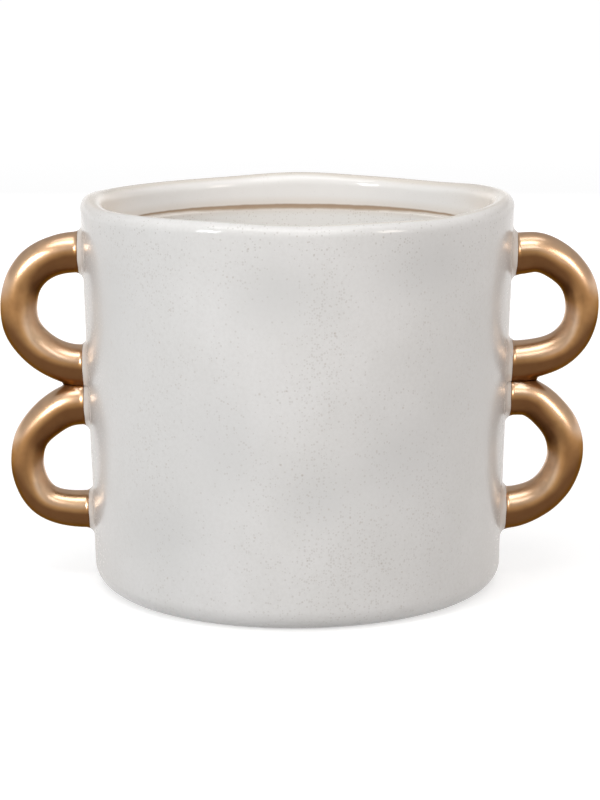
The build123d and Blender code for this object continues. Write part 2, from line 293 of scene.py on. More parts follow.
# How far the lustre faces up (0 to 1) or down (0 to -1) from level, where the painted shade on its
# undersides starts and is deepest, and where its clear coat starts and is full. Painted light on the bows,
# the lower ones less, and on their sides towards the vessel counts them as facing up a little more than
# they do.
GOLD_SHADE_FROM = 0.55
GOLD_SHADE_TO = -0.1
GOLD_COAT_FROM = 0.15
GOLD_COAT_TO = 0.4
BOW_LIGHT_SHARE = 0.13
BOW_FROM = 105.0 * MM
BOW_TO = 122.0 * MM
BOW_LOW = 60.0 * MM
BOW_HIGH = 120.0 * MM
LOW_BOW_LIGHT_STRENGTH = 0.6
INNER_LIGHT_SHARE = 0.25

# The lustre's marks, its satin gloss and its relief as strength and depth. Its painted edge is the part
# of the gold gap between two shares.
GOLD_EDGE_ZONE = (0.12, 0.36)
GOLD_EDGE_WANDER = 0.25
LUSTRE_STRENGTH = 0.15
UNDERSIDE_SHADE_STRENGTH = 0.95
CREASE_SHADE_STRENGTH = 0.6
EDGE_STRENGTH = 0.7
GOLD_ROUGHNESS = (0.31, 0.36)
GOLD_FLECKS = 0.25
GOLD_COAT_ROUGHNESS = 0.24
GOLD_COAT_IOR = 2.8
GOLD_RELIEF = (0.04, 0.03 * MM)
FLECK_HEIGHT = 0.1

# Studio: the floor, its glow near the object and far from it with the distances between which that
# changes, the even light all round, the white horizon with the sines of the heights where it ends and
# has faded, and the lamps with their place, target, size, power and tint.
FLOOR_RADIUS = 8.0
FLOOR_SIDES = 96
FLOOR_COLOUR = (0.55, 0.55, 0.55, 1.0)
GLOW_NEAR = 0.6
GLOW_FAR = 0.79
GLOW_FROM = 0.3
GLOW_TO = 2.5
WORLD_COLOUR = (0.415, 0.415, 0.42, 1.0)
HORIZON_COLOUR = (1.0, 1.0, 1.0, 1.0)
HORIZON_TOP = math.sin(math.radians(6))
HORIZON_FADED = math.sin(math.radians(14))
LAMPS = (
    ("top", (0.0, 0.05, 1.35), (0.0, 0.05, 0.1), (1.2, 0.24), 1.9, (1.0, 1.0, 0.99)),
    ("high", (-0.1, -0.45, 1.2), (0.0, 0.0, 0.1), (1.1, 0.34), 4.3, (1.0, 1.0, 0.99)),
    ("key", (-0.78, -0.78, 0.57), (0.0, 0.0, 0.1), (0.26, 0.38), 4.6, (1.0, 0.995, 0.985)),
    ("fill", (0.85, -0.71, 0.57), (0.0, 0.0, 0.1), (0.26, 0.42), 2.6, (1.0, 0.89, 0.8)),
    ("front", (0.2, -1.15, 1.0), (0.0, 0.0, 0.1), (0.6, 0.3), 1.5, (1.0, 0.99, 0.97)),
    ("back", (0.0, 1.25, 0.55), (0.0, 0.0, 0.1), (1.0, 0.5), 4.6, (1.0, 1.0, 0.99)),
)

# The sockets that a Mix node has for colours, in Blender's order: share, first, second, and the result.
MIX_SOCKETS = (0, 6, 7)
MIX_RESULT = 2

# How finely the pieces are sampled: counts, and the least step along the wall's section.
LEAST_STEP = 0.01 * MM
AROUND = 384
WALL_RINGS = 110
INNER_RINGS = 70
FLOOR_RINGS = 24
CORNER_RINGS = 14
LIP_RINGS = 22
TUBE_AROUND = 64
TUBE_RINGS = 150
LINE_SAMPLES = 400
COLLAR_RINGS = 12
SOLVE_STEPS = 18
WEB_STRIDE = 3

rim_radius = RIM_DIAMETER / 2
base_radius = BASE_DIAMETER / 2
lip_radius = LIP_THICKNESS / 2
lip_centre_height = RIM_HEIGHT - lip_radius
ledge_height = RIM_HEIGHT - LEDGE_DEPTH
band_radius = rim_radius - LIP_THICKNESS
ledge_step = LEDGE_FILLET + LEDGE_ROUND
wall_thickness = LIP_THICKNESS + ledge_step
wall_lean = (rim_radius - base_radius) / (lip_centre_height - BASE_CORNER_RADIUS)
foot_outer_radius = base_radius - BASE_CORNER_RADIUS
foot_inner_radius = foot_outer_radius - FOOT_RING_WIDTH
across = np.array([0.0, 1.0, 0.0])

Leg = namedtuple("Leg", "side diameter origin out rise")
Loop = namedtuple("Loop", "upper lower reach shares thickness_shares")


def smooth(share):
    """Goes from 0 to 1 with level ends."""
    share = np.clip(share, 0.0, 1.0)
    return share * share * (3 - 2 * share)


def between(low, high, share):
    """Value or place a share of the way from one to another."""
    return low + (high - low) * share


def eased(before, here, after, beyond, part):
    """Smooth curve from one value to the next of an evenly spaced row, led by their neighbours."""
    slope_here = (after - before) / 2
    slope_after = (beyond - here) / 2
    bend = 3 * (after - here) - 2 * slope_here - slope_after
    twist = 2 * (here - after) + slope_here + slope_after
    return here + slope_here * part + bend * part**2 + twist * part**3


def round_table(angle, shares):
    """Smooth closed curve through values at equal steps round the vessel."""
    row = np.array(shares)
    place = np.asarray(angle) / (2 * math.pi) * len(row)
    first = np.floor(place).astype(int)
    values = [row[(first + step) % len(row)] for step in (-1, 0, 1, 2)]
    return eased(*values, place - first)


def along(shares, share):
    """Smooth curve through values at equal steps from one end (0) to the other (1)."""
    row = np.array(shares)
    last = len(row) - 1
    place = np.asarray(share) * last
    first = np.minimum(np.floor(place).astype(int), last - 1)
    values = [row[np.clip(first + step, 0, last)] for step in (-1, 0, 1, 2)]
    return eased(*values, place - first)


def lobes(angle):
    """How far the plan stands outside a circle at an angle."""
    total = sum(
        cosine * np.cos(count * angle) + sine * np.sin(count * angle)
        for count, (cosine, sine) in LOBE_SHARES.items()
    )
    return OUT_OF_ROUND * total


def dent(angle, height):
    """How far the wall is pressed in at a place."""
    depth = 0.0
    for degrees, height_share, width_share, tall_share, depth_share in DENT_SHARES:
        width = DENT_WIDTH * width_share
        turn = np.mod(angle - math.radians(degrees) + math.pi, 2 * math.pi) - math.pi
        sideways = turn * rim_radius / width
        upwards = (height - RIM_HEIGHT * height_share) / (width * tall_share)
        depth = depth + DENT_DEPTH * depth_share * np.exp(-(sideways**2) - upwards**2)
    return depth


def even_radius(height):
    """Outer radius of the even, tapering wall at a height above the base corner."""
    return base_radius + wall_lean * (height - BASE_CORNER_RADIUS)


def wall_radius(angle, height):
    """Outer radius of the finished wall."""
    return even_radius(height) + lobes(angle) - dent(angle, height)


def wall_distance(side, offset, height):
    """Distance of the wall's outside from the YZ plane, at a place beside the middle of a side."""
    angle = 0.0 if side > 0 else math.pi
    turn = np.arcsin(offset / wall_radius(angle, height))
    return wall_radius(angle + side * turn, height) * np.cos(turn)


def ripple(points, size, depth):
    """Soft unevenness of a hand-finished surface, read from a steady noise field."""
    flat = points.reshape(-1, 3) / size
    values = np.array([noise.noise(Vector(place)) for place in flat])
    return (values * depth).reshape(points.shape[:-1])


def made_mesh(name, *parts):
    """Closed skin of parts, each a stack of rings shut by a flat fan to a centre at either end."""
    points, faces = [], []
    for rings, start, stop in parts:
        count, around = len(rings), len(rings[0])
        first = len(points)
        points += [tuple(place) for ring in rings for place in ring]
        here = np.arange(around)
        beside = (here + 1) % around
        for row in range(count - 1):
            low, high = first + row * around, first + (row + 1) * around
            faces += np.stack([low + here, low + beside, high + beside, high + here], axis=1).tolist()
        for centre, ring, order in ((start, rings[0], 1), (stop, rings[-1], -1)):
            middle = len(points)
            points += [tuple(centre)] + [tuple(place) for place in ring]
            fan = np.stack([np.full(around, middle), middle + 1 + beside, middle + 1 + here], axis=1)
            faces += fan[:, ::order].tolist()
    mesh = bpy.data.meshes.new(name)
    mesh.from_pydata(points, [], faces)
    mesh.update()
    mesh.shade_smooth()
    return mesh


def give_values(mesh, work_out, *marks):
    """Stores values worked out from the places of a mesh's points and some marks, for its material."""
    places = np.array([vertex.co for vertex in mesh.vertices])
    for name, found in work_out(places, *marks).items():
        layer = mesh.attributes.new(name, "FLOAT", "POINT")
        layer.data.foreach_set("value", found.astype(np.float32))


def made_piece(name, mesh, material, slot, *nodes):
    """A visible piece that stands for CAD nodes and takes a material."""
    piece = bpy.data.objects.new(name, mesh)
    bpy.context.scene.collection.objects.link(piece)
    mesh.materials.append(material)
    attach(piece, "root")
    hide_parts(*nodes)


def arc_stations(centre_radius, centre_height, radius, start, stop, steps):
    """Places along a round stretch of the wall's section, from one angle to another in degrees."""
    angle = np.radians(np.linspace(start, stop, steps + 1))
    radii = centre_radius + radius * np.cos(angle)
    heights = centre_height + radius * np.sin(angle)
    return np.stack([radii, heights], axis=1)


def straight_stations(start, stop, steps):
    """Places along a straight stretch of the wall's section."""
    radii = np.linspace(start[0], stop[0], steps + 1)
    heights = np.linspace(start[1], stop[1], steps + 1)
    return np.stack([radii, heights], axis=1)


def body_section():
    """The wall's section, from the middle of the underside round to the middle of the inner floor."""
    recess_radius = foot_inner_radius - FOOT_EDGE_RADIUS
    foot_radius = foot_inner_radius + FOOT_EDGE_RADIUS
    ledge_radius = band_radius - LEDGE_FILLET
    fillet_height = ledge_height + LEDGE_FILLET
    edge_height = ledge_height - LEDGE_ROUND
    low_radius = base_radius - wall_thickness
    low_height = FLOOR_THICKNESS + FLOOR_CORNER_RADIUS
    floor_radius = low_radius - FLOOR_CORNER_RADIUS
    few = CORNER_RINGS // 2
    stretches = [
        straight_stations(
            (recess_radius / FLOOR_RINGS, FOOT_RECESS_DEPTH),
            (recess_radius, FOOT_RECESS_DEPTH),
            FLOOR_RINGS,
        ),
        arc_stations(recess_radius, FOOT_RECESS_DEPTH - FOOT_EDGE_RADIUS, FOOT_EDGE_RADIUS, 90, 0, few),
        arc_stations(foot_radius, FOOT_EDGE_RADIUS, FOOT_EDGE_RADIUS, 180, 270, few),
        arc_stations(foot_outer_radius, BASE_CORNER_RADIUS, BASE_CORNER_RADIUS, -90, 0, CORNER_RINGS),
        straight_stations((base_radius, BASE_CORNER_RADIUS), (rim_radius, lip_centre_height), WALL_RINGS),
        arc_stations(rim_radius - lip_radius, lip_centre_height, lip_radius, 0, 180, LIP_RINGS),
        straight_stations((band_radius, lip_centre_height), (band_radius, fillet_height), LIP_RINGS // 2),
        arc_stations(ledge_radius, fillet_height, LEDGE_FILLET, 0, -90, few),
        arc_stations(ledge_radius, edge_height, LEDGE_ROUND, 90, 180, few),
        straight_stations((band_radius - ledge_step, edge_height), (low_radius, low_height), INNER_RINGS),
        arc_stations(floor_radius, low_height, FLOOR_CORNER_RADIUS, 0, -90, CORNER_RINGS),
        straight_stations(
            (floor_radius, FLOOR_THICKNESS),
            (low_radius / FLOOR_RINGS, FLOOR_THICKNESS),
            FLOOR_RINGS,
        ),
    ]
    places = np.concatenate(stretches)
    apart = np.linalg.norm(np.diff(places, axis=0), axis=1) > LEAST_STEP
    return places[np.concatenate([[True], apart])]


def make_body():
    """The cast vessel at full detail: wave, plan, dents and the soft unevenness of the wall."""
    section = body_section()
    angle = 2 * math.pi * np.arange(AROUND) / AROUND
    radius, height = section[:, :1], section[:, 1:]
    crest = int(np.argmax(section[:, 1]))
    row = np.arange(len(section))[:, None]
    outer_wave = smooth((height - RIM_HEIGHT + WAVE_REACH) / WAVE_REACH)
    inner_wave = smooth((height - ledge_height) / (lip_centre_height - ledge_height))
    over_lip = height > lip_centre_height
    wave = np.where(over_lip, 1.0, np.where(row < crest, outer_wave, inner_wave))
    upright = smooth((radius - foot_outer_radius / 2) / (foot_outer_radius / 2))
    formed = smooth((height - FLOOR_THICKNESS * (row > crest)) / BASE_CORNER_RADIUS) * upright
    reach = radius + (lobes(angle)[None, :] - dent(angle[None, :], height) * formed) * upright
    rise = height + wave * (RIM_WAVE * round_table(angle, RIM_WAVE_SHARES)[None, :] - INSET)
    places = np.stack([reach * np.cos(angle), reach * np.sin(angle), rise], axis=2)
    uneven = ripple(places, RIPPLE_SIZE, RIPPLE_DEPTH) + ripple(places, FINE_RIPPLE_SIZE, FINE_RIPPLE_DEPTH)
    outwards = np.where(row < crest, 1.0, -1.0) * uneven * formed
    places[:, :, 0] += outwards * np.cos(angle)
    places[:, :, 1] += outwards * np.sin(angle)
    return made_mesh("glazed_body", (places, (0.0, 0.0, FOOT_RECESS_DEPTH), (0.0, 0.0, FLOOR_THICKNESS)))


def wall_leg(side, diameter, height):
    """A leg off the wall at a height of a side: it starts where its gold ends, square to the wall."""
    out = np.array([side, 0.0, -wall_lean]) / math.hypot(1.0, wall_lean)
    rise = np.array([side * wall_lean, 0.0, 1.0]) / math.hypot(1.0, wall_lean)
    foot = np.array([side * wall_distance(side, 0.0, height), 0.0, height])
    return Leg(side, diameter, foot + out * GOLD_GAP, out, rise)


def slid_up(leg, diameter, distance):
    """A leg moved up the wall, in the same plane."""
    return Leg(leg.side, diameter, leg.origin + leg.rise * distance, leg.out, leg.rise)


def flare(radius, from_wall):
    """Radius of a leg near the wall, where it widens in a hollow curve to meet the wall."""
    left = np.maximum(ROOT_FLARE - from_wall, 0.0)
    return radius + ROOT_FLARE - np.sqrt(ROOT_FLARE**2 - left**2)


def clamped_curve(points, start_slope, stop_slope):
    """Evenly spaced places on the smooth cubic curve through points, with given directions at its ends."""
    gap = np.linalg.norm(np.diff(points, axis=0), axis=1)
    count = len(points)
    matrix = np.eye(count)
    wanted = np.zeros((count, 3))
    wanted[0], wanted[-1] = start_slope, stop_slope
    for row in range(1, count - 1):
        before, after = gap[row - 1], gap[row]
        matrix[row, row - 1 : row + 2] = (1 / before, 2 / before + 2 / after, 1 / after)
        pull_before = 3 * (points[row] - points[row - 1]) / before**2
        pull_after = 3 * (points[row + 1] - points[row]) / after**2
        wanted[row] = pull_before + pull_after
    slopes = np.linalg.solve(matrix, wanted)
    places = []
    for row in range(count - 1):
        part = np.linspace(0.0, 1.0, LINE_SAMPLES // (count - 1), endpoint=False)[:, None]
        step = gap[row]
        bend = 3 * (points[row + 1] - points[row]) - step * (2 * slopes[row] + slopes[row + 1])
        twist = 2 * (points[row] - points[row + 1]) + step * (slopes[row] + slopes[row + 1])
        places.append(points[row] + slopes[row] * step * part + bend * part**2 + twist * part**3)
    places.append(points[-1:])
    return np.concatenate(places)


def loop_line(loop):
    """Places, directions and radii along a loop's centre line, and the way from each to the wall."""
    upper, lower = loop.upper, loop.lower
    points = [upper.origin]
    for out_share, drop_share in loop.shares:
        foot = between(upper.origin, lower.origin, drop_share)
        points.append(foot + np.array([upper.side, 0.0, 0.0]) * (loop.reach * out_share - GOLD_GAP))
    points.append(lower.origin)
    curve = clamped_curve(np.array(points), upper.out, -lower.out)
    step = np.linalg.norm(np.diff(curve, axis=0), axis=1)
    run = np.concatenate([[0.0], np.cumsum(step)])
    length = run[-1]
    share = (1 - np.cos(math.pi * np.arange(TUBE_RINGS + 1) / TUBE_RINGS)) / 2
    centre = np.stack([np.interp(share * length, run, curve[:, axis]) for axis in range(3)], axis=1)
    slope = np.gradient(curve, run, axis=0)
    heading = np.stack([np.interp(share * length, run, slope[:, axis]) for axis in range(3)], axis=1)
    heading[0], heading[-1] = upper.out, -lower.out
    heading /= np.linalg.norm(heading, axis=1)[:, None]
    from_wall = length * np.minimum(share, 1.0 - share) + GOLD_GAP
    radius = flare(TUBE_DIAMETER * along(loop.thickness_shares, share) / 2, from_wall)
    return centre, heading, radius, from_wall


def distance_to(places, centre, radius):
    """Distance of places from the surface of a tube given by places and radii along its centre line."""
    nearest = np.full(places.shape[:-1], np.inf)
    for middle, size in zip(centre, radius):
        nearest = np.minimum(nearest, np.linalg.norm(places - middle, axis=-1) - size)
    return nearest


def soft_union(first, second):
    """Distance from two surfaces joined with a web of clay in the crease between them."""
    near = np.maximum(SEAM_WEB - np.abs(first - second), 0.0) / SEAM_WEB
    return np.minimum(first, second) - near**2 * SEAM_WEB / 4


def waver(spokes, leg):
    """How far the gold's painted edge wanders along the leg, in each direction round it."""
    paced = EDGE_WAVER_PACE * spokes
    level = np.full(len(spokes), leg.origin[2] / MM)
    ring = np.stack([paced @ across, paced @ leg.rise, level], axis=-1)
    return ripple(ring, 1.0, EDGE_WAVER)


def share_to_seam(places, origins, seam):
    """Share of the way out from each origin at which a place stops, where the flat seam cuts it off."""
    if seam is None:
        return np.full(places.shape[:-1], 1.0)
    point, normal = seam
    before = (origins - point) @ normal
    after = (places - point) @ normal
    crossed = before * after < 0
    return np.where(crossed, before / np.where(crossed, before - after, 1.0), 1.0)


def filled_out(hub, spokes, own_radius, distance):
    """How far out along each spoke the surface lies once a web fills the crease to another surface."""
    low, high = own_radius, own_radius + SEAM_WEB
    for _ in range(SOLVE_STEPS):
        middle = (low + high) / 2
        inside = soft_union(middle - own_radius, distance(hub + spokes * middle[..., None])) < 0
        low, high = np.where(inside, middle, low), np.where(inside, high, middle)
    return low


def make_loop(name, line, other, seam, upper, lower):
    """One gold loop, closed at both ends where the gold stops."""
    centre, heading, radius, from_wall = line
    other_centre, _, other_radius, _ = other
    angle = 2 * math.pi * np.arange(TUBE_AROUND) / TUBE_AROUND
    inward = np.cross(heading, across)
    spokes = np.cos(angle)[None, :, None] * across + np.sin(angle)[None, :, None] * inward[:, None, :]
    hub = np.repeat(centre[:, None, :], TUBE_AROUND, axis=1)
    own_radius = np.repeat(radius[:, None], TUBE_AROUND, axis=1)
    other_tube = other_centre[::WEB_STRIDE], other_radius[::WEB_STRIDE]
    reach = filled_out(hub, spokes, own_radius, lambda place: distance_to(place, *other_tube))
    rings = hub + spokes * reach[..., None]
    rings += spokes * (ripple(rings, TUBE_RIPPLE_SIZE, TUBE_RIPPLE_DEPTH) - INSET)[..., None]
    rings = hub + (rings - hub) * share_to_seam(rings, hub, seam)[..., None]
    fade = smooth(1.0 - (from_wall - GOLD_GAP) / GOLD_GAP)
    half = len(from_wall) // 2
    for leg, rows in ((upper, slice(None, half)), (lower, slice(half, None))):
        shift = np.array([share * waver(spoke, leg) for share, spoke in zip(fade[rows], spokes[rows])])
        rings[rows] += shift[..., None] * leg.out
    return made_mesh(name, (rings, upper.origin, lower.origin))


def collar_rings(leg, twin, seam):
    """Rings of a white collar: from the edge of the gold out to the wall, and on under the wall's face."""
    angle = 2 * math.pi * np.arange(TUBE_AROUND) / TUBE_AROUND
    spokes = np.cos(angle)[:, None] * across + leg.side * np.sin(angle)[:, None] * leg.rise
    hub = leg.origin[None, :]
    rings = []
    for step in range(COLLAR_RINGS + 1):
        share = 1 - (1 - step / COLLAR_RINGS) ** 2
        reach = flare(np.full(TUBE_AROUND, leg.diameter / 2), GOLD_GAP * (1.0 - share))
        if twin is not None:
            twin_radius = flare(twin.diameter / 2, GOLD_GAP * (1.0 - share))
            reach = filled_out(
                hub, spokes, reach, lambda place: np.linalg.norm(place - twin.origin, axis=-1) - twin_radius
            )
        edge = hub + spokes * reach[:, None]
        edge += spokes * ripple(edge, TUBE_RIPPLE_SIZE, TUBE_RIPPLE_DEPTH)[:, None]
        edge = hub + (edge - hub) * share_to_seam(edge, hub, seam)[:, None]
        foot = edge.copy()
        foot[:, 0] = leg.side * wall_distance(leg.side, edge[:, 1], edge[:, 2])
        shift = (1 - share) * waver(spokes, leg)[:, None] * leg.out
        rings.append(between(edge, foot, share) + shift)
    mouth = rings[-1] + spokes * COLLAR_DIP
    for distance in (COLLAR_DIP, COLLAR_BED):
        sunk = mouth - leg.out * distance
        rings.append(hub + (sunk - hub) * share_to_seam(sunk, hub, seam)[:, None])
    return np.array(rings)


def make_collar(name, legs, seam):
    """One white collar round one leg, or round the two legs that meet at the seam."""
    parts = []
    for leg, twin in zip(legs, legs[::-1]):
        rings = collar_rings(leg, twin if len(legs) > 1 else None, seam)
        parts.append((rings, leg.origin, leg.origin - leg.out * (GOLD_GAP + COLLAR_BED)))
    return made_mesh(name, *parts)


def side_pieces(side_name, side, heights, seam_rise, loops):
    """The meshes of one side, two loops cut flat at their seam and three collars, with legs and seam."""
    top_height, bottom_height = heights
    upper_sizes, lower_sizes = loops
    thickness = [TUBE_DIAMETER * shares[end] for _, _, shares in loops for end in (0, -1)]
    top_thickness, above_thickness, below_thickness, bottom_thickness = thickness
    seam_leg = wall_leg(side, 0.0, (top_height + bottom_height) / 2 + seam_rise)
    seam = (seam_leg.origin, seam_leg.rise)
    top = wall_leg(side, top_thickness, top_height)
    above = slid_up(seam_leg, above_thickness, (above_thickness - SEAM_OVERLAP) / 2)
    below = slid_up(seam_leg, below_thickness, (SEAM_OVERLAP - below_thickness) / 2)
    bottom = wall_leg(side, bottom_thickness, bottom_height)
    upper = loop_line(Loop(top, above, *upper_sizes))
    lower = loop_line(Loop(below, bottom, *lower_sizes))
    pieces = {
        "upper_loop": (make_loop, "gold", upper, lower, seam, top, above),
        "lower_loop": (make_loop, "gold", lower, upper, seam, below, bottom),
        "top_collar": (make_collar, "white", (top,), None),
        "middle_collar": (make_collar, "white", (above, below), seam),
        "bottom_collar": (make_collar, "white", (bottom,), None),
    }
    meshes = {}
    for piece, (make, colour, *values) in pieces.items():
        node = f"{side_name}_{piece}"
        meshes[node] = make(f"{node}_{colour}", *values)
    return meshes, (top, above, below, bottom), seam


def bump_of(distance, width):
    """A soft bump: 1 at no distance, fading over a width."""
    return np.exp(-((distance / width) ** 2))


def glaze_values(places, legs):
    """Soft marks of the glaze: crowding speckles, painted shade and painted gold reflection round the
    loops' roots with glossier glaze there, the flanks for painted shade and warm light, and painted shade
    in the dents.
    """
    angle = np.arctan2(places[:, 1], places[:, 0])
    crowd = np.zeros(len(places))
    for degrees, height_share, width, height, strength in SPECKLE_PATCH_SHARES:
        turn = np.mod(angle - math.radians(degrees) + math.pi, 2 * math.pi) - math.pi
        sideways = turn * rim_radius / (PATCH_SIZE * width)
        upwards = (places[:, 2] - RIM_HEIGHT * height_share) / (PATCH_SIZE * height)
        crowd = np.maximum(crowd, strength * np.exp(-(sideways**2) - upwards**2))
    # Painted shade and painted warm reflection of the gold round the loops' roots, and glossier glaze
    # there.
    roots = np.zeros(len(places))
    gloss = np.zeros(len(places))
    for leg in legs:
        away = places - leg.origin
        beside = np.linalg.norm(away, axis=1) - leg.diameter / 2
        roots = np.maximum(roots, bump_of(beside, ROOT_SHADE_REACH))
        gloss = np.maximum(gloss, bump_of(beside, ROOT_GLOSS_REACH))
    # The flanks under the loops, where shade is painted on the wall and warm light on the lip.
    flank = bump_of(np.arcsin(np.abs(np.sin(angle))), FLANK_WIDTH)
    outside = np.hypot(places[:, 0], places[:, 1]) > band_radius
    # Painted shade in the dents, deepest at their middle, on the outside only.
    dent_shade = np.clip(dent(angle, places[:, 2]) / DENT_DEPTH * outside, 0.0, 1.0)
    return {"crowd": crowd, "roots": roots, "gloss": gloss, "flank": flank, "dent_shade": dent_shade}


def gold_values(places, legs, seam):
    """Soft marks of the lustre: how far a place is from the gold's edges, and how near the crease, where
    shade is painted.
    """
    edge = np.ones(len(places))
    for leg in legs:
        along_leg = (places - leg.origin) @ leg.out
        beside = np.linalg.norm(places - leg.origin - along_leg[:, None] * leg.out, axis=1)
        edge = np.where(beside < leg.diameter, np.minimum(edge, along_leg / GOLD_GAP), edge)
    point, normal = seam
    # Where shade is painted, near the crease at the seam.
    crease = bump_of((places - point) @ normal, SEAM_SHADE)
    return {"edge": np.clip(edge, 0.0, 1.0), "crease": crease}


class Graph:
    """Adds shader nodes to one material or world and hands back the outputs that later nodes take."""

    def __init__(self, owner):
        self.owner = owner
        owner.use_nodes = True
        self.tree = owner.node_tree
        self.tree.nodes.clear()
        self.places = self.add("ShaderNodeTexCoord").outputs
        self.place = self.places["Object"]

    def feed(self, socket, value):
        """Links a node's output to a socket, or sets the socket to a plain value."""
        if isinstance(value, bpy.types.NodeSocket):
            self.tree.links.new(value, socket)
        else:
            socket.default_value = value

    def add(self, kind, inputs=None, **fields):
        """A node with its fields set, and its inputs set or linked."""
        made = self.tree.nodes.new(kind)
        for field, value in fields.items():
            setattr(made, field, value)
        for key, value in (inputs or {}).items():
            self.feed(made.inputs[key], value)
        return made

    def sum(self, operation, *values):
        """The result of a math operation on values."""
        return self.add("ShaderNodeMath", dict(enumerate(values)), operation=operation).outputs[0]

    def times(self, first, *others):
        """The product of values."""
        for other in others:
            first = self.sum("MULTIPLY", first, other)
        return first

    def most(self, first, *others):
        """The largest of values."""
        for other in others:
            first = self.sum("MAXIMUM", first, other)
        return first

    def ramp(self, value, start, stop, low=0.0, high=1.0):
        """A value brought smoothly from one range to another."""
        inputs = {"Value": value, "From Min": start, "From Max": stop, "To Min": low, "To Max": high}
        return self.add("ShaderNodeMapRange", inputs, interpolation_type="SMOOTHSTEP").outputs["Result"]

    def stretched(self, *shares):
        """The place with each axis squeezed by a share."""
        inputs = {0: self.place, 1: shares}
        return self.add("ShaderNodeVectorMath", inputs, operation="MULTIPLY").outputs[0]

    def length(self, vector):
        """The length of a vector."""
        return self.add("ShaderNodeVectorMath", {0: vector}, operation="LENGTH").outputs["Value"]

    def noise(self, name, squeeze=None):
        """One of the noise fields, about 0 to 1, squeezed in height by a share if one is given."""
        size, detail, roughness = NOISES[name]
        place = self.stretched(1, 1, squeeze) if squeeze else self.place
        inputs = {"Vector": place, "Scale": 1 / size, "Detail": detail, "Roughness": roughness}
        return self.add("ShaderNodeTexNoise", inputs).outputs["Fac"]

    def dots(self, size, radius, share):
        """Scattered round dots: one to a cell of a size, in a share of the cells."""
        cells = self.add("ShaderNodeTexVoronoi", {"Vector": self.place, "Scale": 1 / size})
        chance = self.add("ShaderNodeSeparateColor", {0: cells.outputs["Color"]})
        reach = self.ramp(chance.outputs[1], 0.0, 1.0, radius * SMALLEST_DOT, radius)
        outer, inner = self.times(reach, 1 + DOT_BLUR), self.times(reach, 1 - DOT_BLUR)
        dot = self.ramp(cells.outputs["Distance"], outer, inner)
        return self.times(dot, self.sum("LESS_THAN", chance.outputs[0], share))

    def apart(self, vector):
        """The three parts of a vector."""
        return self.add("ShaderNodeSeparateXYZ", {0: vector}).outputs

    def value(self, name):
        """A value stored at the mesh's points."""
        return self.add("ShaderNodeAttribute", attribute_name=name).outputs["Fac"]

    def mixed(self, share, first, second):
        """A colour a share of the way from one colour to another."""
        inputs = dict(zip(MIX_SOCKETS, (share, first, second)))
        return self.add("ShaderNodeMix", inputs, data_type="RGBA").outputs[MIX_RESULT]

    def stained(self, tone, *stains):
        """A colour brought towards others in turn, each by the product of its shares."""
        for colour, *shares in stains:
            tone = self.mixed(self.times(*shares), tone, colour)
        return tone

    def relief(self, sizes, height):
        """The surface's facing, bent by a height, for a relief of a strength and depth."""
        strength, depth = sizes
        inputs = {"Strength": strength, "Distance": depth, "Height": height}
        return self.add("ShaderNodeBump", inputs).outputs[0]

    def seen(self):
        """Whether light is on its way to the camera, a reflection or through glass."""
        path = self.add("ShaderNodeLightPath").outputs
        return self.most(path["Is Camera Ray"], path["Is Glossy Ray"], path["Is Transmission Ray"])

    def finish(self, shader, kind="ShaderNodeOutputMaterial"):
        """Takes the shader as the surface, and hands over the material or world."""
        self.add(kind, {"Surface": shader})
        return self.owner


def lip_zone(zone):
    """A zone's start and stop, from shares of the lip's thickness to distances in from the wall."""
    return [LIP_THICKNESS * share for share in zone]


